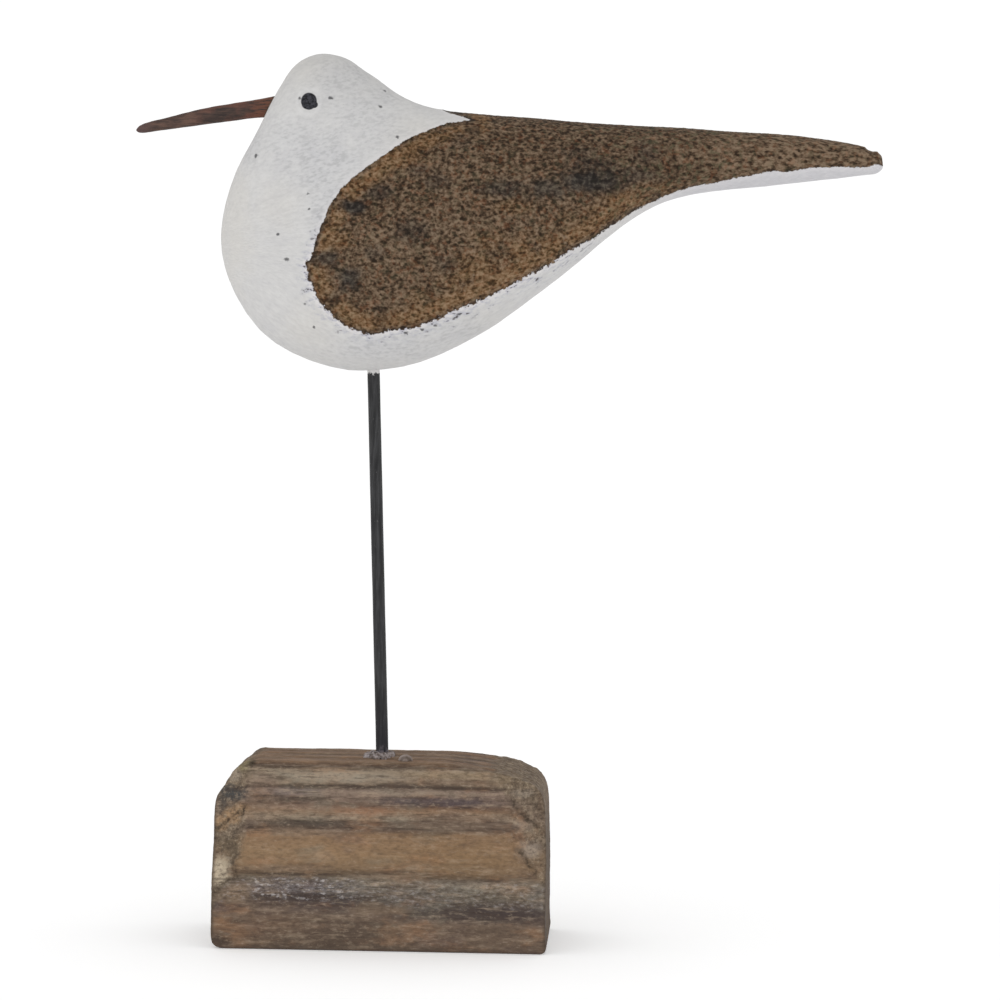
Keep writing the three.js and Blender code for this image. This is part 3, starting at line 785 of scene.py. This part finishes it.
def body_paint(place):
    """The white ground, the stippled wing over it, and the eyes over both."""
    wing = place.node("ShaderNodeAttribute", {"attribute_name": "wing"}, {}, "Fac")
    x, z = place.axis("X"), place.axis("Z")
    strokes_at = brush_path(place)
    ragged = place.noise(1.6 * MM, 4.0, 0.72) - 0.5
    torn = place.noise(3.2 * MM, 3.0, 0.65, (1.5, 1, 1)) - 0.5
    low_edge = 1 - z.rise(222 * MM, 246 * MM)
    on_wing = (wing + ragged * (1.6 + low_edge * 2.0) + torn * low_edge * 2.2).rise(-0.45, -0.2)

    # the white ground: brushed on thin, grey where the wood shows through, thick by the wing
    strokes = strokes_at.noise(0.95 * MM, 2.0, 0.55, (2.0, 1.4, 1))
    dabs = strokes_at.noise(3.4 * MM, 3.0, 0.6, (2.2, 1.5, 1))
    drift = (place.noise(7 * MM, 3.0, 0.6) - 0.5) * 1.4
    warm_white = patches(place, WARM_WHITE, drift)
    cool_white = patches(place, COOL_WHITE, drift)
    white = dabs.ramp(
        [(0.32, tone(195, 194, 194)), (0.5, tone(199, 198, 197)), (0.68, tone(202, 201, 200))]
    )
    white = white.blend(warm_white * 0.45, tone(203, 199, 191))
    white = white.blend(cool_white * 0.5, tone(186, 186, 189))
    under_tail = x.rise(76 * MM, 100 * MM)
    white = white.blend(under_tail * 0.6, tone(191, 190, 196))
    scrubbed = 0.14 + cool_white * 0.36
    white = white.blend((1 - strokes.rise(0.34, 0.54)) * scrubbed, tone(160, 160, 160))
    white = white.blend(strokes.rise(0.54, 0.7) * 0.26, tone(213, 212, 210))
    # the white a little greyer towards the top of the head
    greyer_up_top = z.rise(266 * MM, 292 * MM)
    white = white.blend(greyer_up_top * 0.16, tone(168, 166, 160))
    beside = (wing + ragged * 2.4).rise(-2.4, -0.5)
    white = white.blend(beside * (0.22 + low_edge * 0.3), tone(220, 216, 217))
    # below the wing's lower edge: a bluish painted shade, and dark flakes where the dark base coat shows
    # through the white
    smear = (wing + torn * 5.0).rise(-5.5, -1.5) * low_edge * (1 - x.rise(60 * MM, 75 * MM))
    flakes = place.noise(1.7 * MM, 3.0, 0.65, (2.0, 1, 1))
    white = white.blend(smear * flakes.rise(0.46, 0.6) * 0.45, tone(150, 152, 170))
    white = white.blend(smear * flakes.rise(0.61, 0.645) * 0.9, tone(58, 50, 46))
    broken = (place.noise(0.9 * MM, 2.0, 0.6) - 0.5) * 2.6
    for px, py, pz, size in PITS:
        off = place.gap((px * MM, py * MM, pz * MM), (size * 1.1 * MM, size * MM, size * 0.85 * MM))
        white = white.blend((1 - (off + broken).rise(0.5, 1.5)) * 0.85, tone(66, 66, 68))

    # a dark seam of glue where the bill goes in
    by_bill = 1 - place.gap((-41 * MM, 0, 277.6 * MM), (4 * MM, 3.2 * MM, 3.9 * MM)).rise(0.94, 1.16)
    white = white.blend(by_bill * 0.8, tone(76, 62, 48))

    # the stippled wing: black under a dry brown, with orange near the edges and bare dark spots
    worms = place.noise(1.7 * MM, 1.0, 0.5, (1.25, 1, 1))
    grain = place.noise(1.15 * MM, 2.0, 0.55, (1.25, 1, 1))
    streaked = place.noise(1.15 * MM, 2.0, 0.6, (1.9, 1, 1))
    to_tail = x.rise(60 * MM, 125 * MM) * 0.6
    ridges = 1 - abs(worms - 0.5) * 5.0
    on_tail = (streaked - 0.5) * 1.3 + 0.515
    stipple = (ridges * 0.14 + grain * 0.86) * (1 - to_tail) + on_tail * to_tail
    wander = (place.noise(5 * MM, 3.0, 0.6) - 0.5) * 1.5
    on_nape = 1 - place.gap((21 * MM, 0, 277 * MM), (9 * MM, 12 * MM, 4 * MM)).rise(0.4, 1.2)
    shadow = patches(place, WING_SHADOWS, wander).high(on_nape * 0.8)
    cloud = place.noise(9 * MM, 4.0, 0.6, (1.5, 1, 1))
    paler = (1 - z.rise(226 * MM, 250 * MM)) * 0.03 + x.rise(92 * MM, 118 * MM) * 0.075
    level = (stipple - 0.5) * (to_tail * 0.5 + 1.14) + 0.52 + (cloud - 0.5) * 0.2 + paler
    brown = level.ramp(
        [
            (0.36, tone(38, 27, 16)), (0.46, tone(60, 46, 33)), (0.55, tone(83, 66, 50)),
            (0.63, tone(101, 83, 66)), (0.76, tone(124, 105, 86)),
        ]
    )
    by_edge = wing.rise(0.4, 1.6) * (1 - wing.rise(3.5, 8.0)) * (1 - x.rise(70 * MM, 95 * MM))
    warm = place.noise(6 * MM, 3.0, 0.6)
    glow = (by_edge * 0.9).high(patches(place, WING_GLOW, wander)) * warm.rise(0.3, 0.48)
    golden = level.ramp(
        [
            (0.36, tone(57, 39, 20)), (0.46, tone(84, 61, 37)), (0.55, tone(107, 81, 55)),
            (0.63, tone(122, 96, 70)), (0.76, tone(141, 116, 90)),
        ]
    )
    brown = brown.blend(glow, golden)
    sooty = level.ramp([(0.38, tone(28, 24, 21)), (0.58, tone(46, 42, 39)), (0.76, tone(78, 73, 65))])
    brown = brown.blend(shadow * 0.95, sooty)
    rusty = place.noise(1.9 * MM, 2.0, 0.6)
    mossy = place.vector("ADD", (0.3, 0.2, 0.1)).noise(1.9 * MM, 2.0, 0.6)
    brown = brown.blend(rusty.rise(0.54, 0.66) * (1 - shadow) * 0.16, tone(140, 84, 52))
    olive = x.rise(58 * MM, 80 * MM) * (1 - x.rise(108 * MM, 125 * MM)) * 0.2 + 0.14
    brown = brown.blend(mossy.rise(0.5, 0.64) * (1 - shadow * 0.8) * olive, tone(82, 86, 64))
    # a dark line along the wing's edge: painted shade in the small step where the brown meets the white
    rim = wing.rise(-0.9, -0.3) * (1 - wing.rise(-0.1, 0.6))
    on_shoulder = z.rise(238 * MM, 244 * MM) * (1 - x.rise(20 * MM, 26 * MM))
    rim = rim * place.noise(5 * MM, 3.0, 0.6).rise(0.42, 0.54) * (1 - on_shoulder * 0.8)
    rim = rim * (1 - x.rise(78 * MM, 90 * MM) * 0.6)
    brown = brown.blend(rim * 0.75, tone(42, 33, 28))
    colour = white.blend(on_wing, brown)

    # the eyes: a dab of black on each side, with a small run at the lower right
    wobble = (place.noise(2.2 * MM, 3.0, 0.6) - 0.5) * 0.5
    off_eye = place.gap((-26.4 * MM, 0, 277.6 * MM), (2.65 * MM, 0, 2.85 * MM))
    off_run = place.gap((-24.7 * MM, 0, 276.5 * MM), (1.3 * MM, 0, 1.15 * MM))
    dab = 1 - (off_eye.low(off_run) + wobble * 0.3).rise(0.93, 1.06)
    inside = place.noise(0.9 * MM, 3.0, 0.7)
    ring = off_eye.rise(1.2, 1.45) * (1 - off_eye.rise(1.5, 1.8))
    colour = colour.blend(ring * 0.2, tone(218, 218, 218))
    colour = colour.blend(dab, inside.ramp([(0.4, tone(20, 20, 24)), (0.62, tone(60, 60, 66))]))
    return {
        "Base Color": colour,
        "Roughness": 0.8 - dab * 0.2,
        "Height": (strokes * (1 - on_wing) * 0.16 + stipple * on_wing * 0.5) * MM,
    }


coat(body, "bird_paint", body_paint, Specular_IOR_Level=0.16)
shade_smooth(body)
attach(body, "root")
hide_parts("bird_body")


# The bill: a whittled stick of dark wood, oiled and not painted, glued in a hole in the head.

bill = worked_copy("bill", "whittled_bill")
even_skin(bill, 0.42 * MM, 3)
apply(bill, "SUBSURF", levels=1, render_levels=1)
BILL_RUN = (9, 1, 1)


def bill_relief(place):
    """Raised grain along the bill, and the flats that the knife left."""
    along = place.noise(1.1 * MM, 2.0, 0.5, BILL_RUN) - 0.5
    cuts = place.noise(6 * MM, 1.0, 0.5) - 0.5
    return (along * 0.2 + cuts * 0.3) * MM


carve(bill, bill_relief)


def bill_paint(place):
    """Dark oiled wood, redder towards the head and paler at the tip."""
    along = place.noise(0.6 * MM, 4.0, 0.6, BILL_RUN)
    cloud = place.noise(6 * MM, 3.0, 0.6, (1.6, 1, 1))
    ruddy = place.axis("X").rise(-70 * MM, -54 * MM)
    colour = (along * 0.6 + cloud * 0.4).ramp(
        [(0.38, tone(44, 33, 29)), (0.5, tone(68, 51, 44)), (0.62, tone(95, 71, 60))]
    )
    colour = colour.blend(ruddy * cloud.rise(0.38, 0.58) * 0.6, tone(110, 64, 50))
    tip = 1 - place.axis("X").rise(-84.5 * MM, -79 * MM)
    colour = colour.blend(tip * 0.4, tone(100, 76, 76))
    by_head = place.axis("X").rise(-50 * MM, -44 * MM)
    colour = colour.blend(by_head * along.rise(0.38, 0.54) * 0.65, tone(116, 70, 50))
    slant = place.axis("X") - place.axis("Z") * 0.47
    colour = colour.blend(slant.rise(-172.4 * MM, -171.9 * MM) * 0.6, tone(70, 55, 38))
    return {
        "Base Color": colour,
        "Roughness": 0.6 + along * 0.15,
        "Height": along * (0.15 * MM),
    }


coat(bill, "dark_bill_wood", bill_paint, Specular_IOR_Level=0.35)
shade_smooth(bill)
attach(bill, "root")
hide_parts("bill")


# The studio: a pale floor in soft light from all round, and a long lens a little above the
# middle of the ornament.

bpy.ops.mesh.primitive_grid_add(x_subdivisions=40, y_subdivisions=40, size=8)
floor = bpy.context.object
floor.name = "studio_floor"


def floor_paint(place):
    """A pale floor, so faintly clouded that it looks plain."""
    cloud = place.noise(0.6, 2.0, 0.5)
    return {"Base Color": cloud.ramp([(0.3, tone(246, 246, 246)), (0.7, tone(250, 250, 250))])}


WHITE = (1, 1, 1, 1)
coat(
    floor,
    "pale_floor",
    floor_paint,
    Roughness=0.9,
    Specular_IOR_Level=0.0,
    Emission_Color=WHITE,
    Emission_Strength=0.22,
)

world = bpy.data.worlds.new("soft_daylight")
bpy.context.scene.world = world
world.use_nodes = True
sky = world.node_tree.nodes["Background"]
sky.inputs["Color"].default_value = WHITE
toward = Strand(world.node_tree).node("ShaderNodeTexCoord", {}, {}, "Generated")
ahead = toward.vector("DOT_PRODUCT", (-0.35, -0.93, 0.0), 1)
strength = 1.04 - toward.axis("Z").rise(0.12, 0.85) * 0.3 + ahead.rise(0.3, 0.95) * 0.42
world.node_tree.links.new(strength.socket, sky.inputs["Strength"])
bpy.context.scene.view_settings.view_transform = "Standard"

azimuth, elevation, roll = (math.radians(a) for a in (2.5, 1.5, 0.7))
back = Vector(
    (
        math.sin(azimuth) * math.cos(elevation),
        -math.cos(azimuth) * math.cos(elevation),
        math.sin(elevation),
    )
)
level_right = Vector((math.cos(azimuth), math.sin(azimuth), 0))
level_up = back.cross(level_right)
right = level_right * math.cos(roll) + level_up * math.sin(roll)
up = level_up * math.cos(roll) - level_right * math.sin(roll)
lens = bpy.data.cameras.new("long_lens")
lens.lens = 113.4
lens.sensor_width = 36
lens.clip_start = 0.05
lens.clip_end = 50
camera = bpy.data.objects.new("camera", lens)
bpy.context.scene.collection.objects.link(camera)
middle = Vector((36.97, 0, 147.43)) * MM
distance = 1.05
turned = Matrix((right, up, back)).transposed().to_4x4()
camera.matrix_world = Matrix.Translation(middle + back * distance) @ turned
bpy.context.scene.camera = camera
